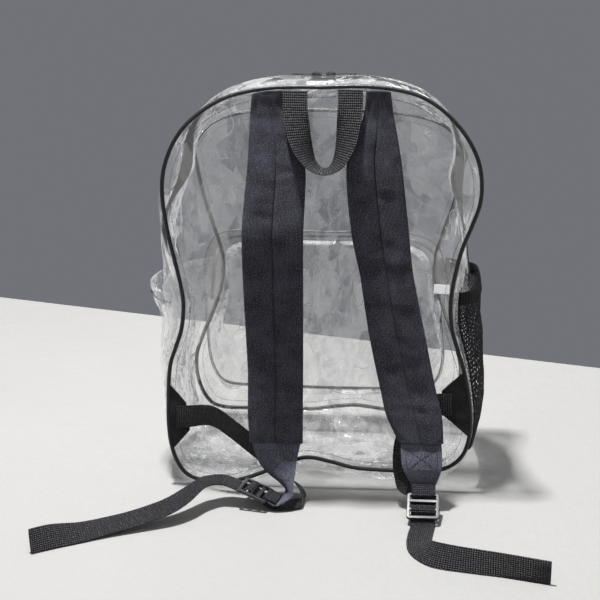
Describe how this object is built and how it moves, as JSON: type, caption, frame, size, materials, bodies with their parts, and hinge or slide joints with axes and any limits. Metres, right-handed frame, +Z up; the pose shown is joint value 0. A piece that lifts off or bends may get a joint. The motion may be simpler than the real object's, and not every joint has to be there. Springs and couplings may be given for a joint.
{
  "type": "clear stadium backpack",
  "caption": "Clear vinyl stadium backpack with black piping, zipped front pocket, clear and net side pockets, padded straps and loose webbing tails.",
  "frame": {"origin": "on the floor, on the flat underside of the bottom gusset, midway between the two sides and between the back and front panels", "axes": "+Z up; -Y towards the wearer, out of the back panel with the straps; +Y out of the front pocket; +X to the right as seen from the strap side"},
  "size_m": [0.52, 0.3944, 0.4469],
  "materials": {
    "clear_vinyl": "clear flexible vinyl sheet, glossy, slightly hazy and creased",
    "piping": "black semi-gloss vinyl piping",
    "zipper_tape": "black woven zipper tape with nylon coil",
    "zipper_metal": "black painted metal",
    "net": "black knitted net",
    "elastic": "black woven elastic band",
    "strap_cloth": "matte blue-black woven cloth",
    "webbing": "black ribbed webbing",
    "buckle_plastic": "black moulded plastic, satin",
    "tag": "white woven label, blank"
  },
  "bodies": {
    "root": {"back_panel": "clear_vinyl", "front_panel": "clear_vinyl", "lower_gusset": "clear_vinyl", "upper_gusset_back": "clear_vinyl", "upper_gusset_front": "clear_vinyl", "pocket_face": "clear_vinyl", "pocket_gusset": "clear_vinyl", "pocket_strip": "clear_vinyl", "side_pocket_clear": "clear_vinyl", "side_pocket_clear_hem": "clear_vinyl", "piping_back": "piping", "piping_front": "piping", "pocket_piping": "piping", "main_zipper": "zipper_tape", "pocket_zipper": "zipper_tape", "main_slider_left": "zipper_metal", "main_slider_right": "zipper_metal", "main_pull_left": "zipper_metal", "main_pull_right": "zipper_metal", "pocket_slider": "zipper_metal", "side_pocket_net": "net", "side_pocket_net_hem": "elastic", "shoulder_strap_left": "strap_cloth", "shoulder_strap_right": "strap_cloth", "strap_tab_left": "strap_cloth", "strap_tab_right": "strap_cloth", "strap_anchor_left": "strap_cloth", "strap_anchor_right": "strap_cloth", "grab_handle": "webbing", "lower_webbing_left": "webbing", "lower_webbing_right": "webbing", "buckle_loop_left": "webbing", "buckle_loop_right": "webbing", "buckle_left": "buckle_plastic", "buckle_right": "buckle_plastic", "side_tag": "tag"}
  },
  "joints": []
}
